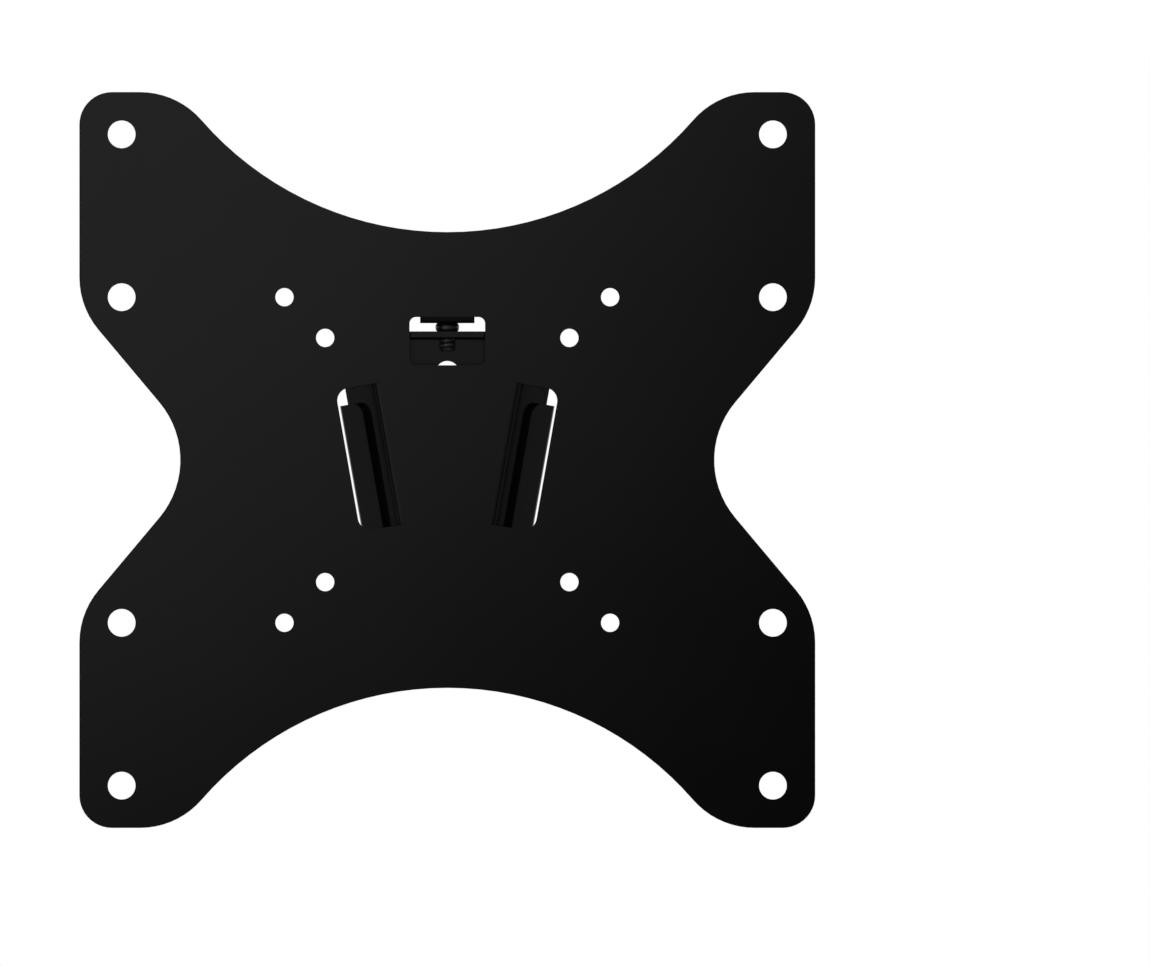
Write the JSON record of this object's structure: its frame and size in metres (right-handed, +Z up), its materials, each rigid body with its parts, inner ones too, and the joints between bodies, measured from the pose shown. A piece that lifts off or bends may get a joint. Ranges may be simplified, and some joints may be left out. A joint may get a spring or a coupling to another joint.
{
  "type": "fixed tv wall bracket",
  "caption": "Slim fixed wall bracket: a waisted display plate hooks on a small wall plate by a slanted dovetail and is locked by one socket screw.",
  "frame": {"origin": "middle of the display hole pattern, on the wall surface that the wall plate lies on", "axes": "+X to the viewer's right, +Z up, +Y into the wall; the display is on the -Y side"},
  "size_m": [0.226, 0.013, 0.226],
  "materials": {
    "coated_sheet": "satin black powder coat",
    "screw_steel": "black oxide, semi-gloss",
    "ring_polymer": "glossy black"
  },
  "bodies": {
    "root": {"tv_plate": "coated_sheet", "wall_plate": "coated_sheet", "locking_screw": "screw_steel", "captive_ring": "ring_polymer"}
  },
  "joints": []
}
